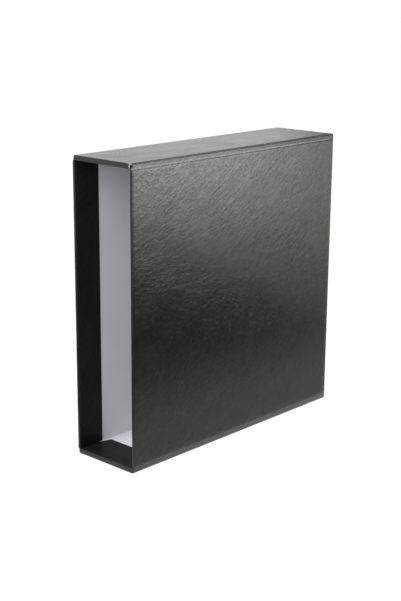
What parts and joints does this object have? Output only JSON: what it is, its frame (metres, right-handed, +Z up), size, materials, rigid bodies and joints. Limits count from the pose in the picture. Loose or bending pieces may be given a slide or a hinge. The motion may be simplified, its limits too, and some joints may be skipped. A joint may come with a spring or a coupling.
{
  "type": "album slipcase",
  "caption": "Open-fronted board slipcase covered in black grained leatherette and lined with grey paper, for storing an album upright.",
  "frame": {"origin": "middle of the underside, at the level the case stands on", "axes": "+Z up, -Y out of the open mouth, +X out of the right-hand large side as seen looking into the mouth"},
  "size_m": [0.087, 0.328, 0.325],
  "materials": {
    "leatherette": "black grained leatherette on paper backing, satin",
    "greyboard": "matt grey board, bare only where the cover is nicked",
    "lining": "matt light grey lining paper"
  },
  "bodies": {
    "root": {"right_board": "greyboard", "left_board": "greyboard", "top_outer_board": "greyboard", "top_inner_board": "greyboard", "bottom_outer_board": "greyboard", "bottom_inner_board": "greyboard", "back_outer_board": "greyboard", "back_inner_board": "greyboard", "right_lining": "lining", "left_lining": "lining", "rim_lining": "lining", "rim_cover": "leatherette", "right_cover": "leatherette", "left_cover": "leatherette"}
  },
  "joints": []
}
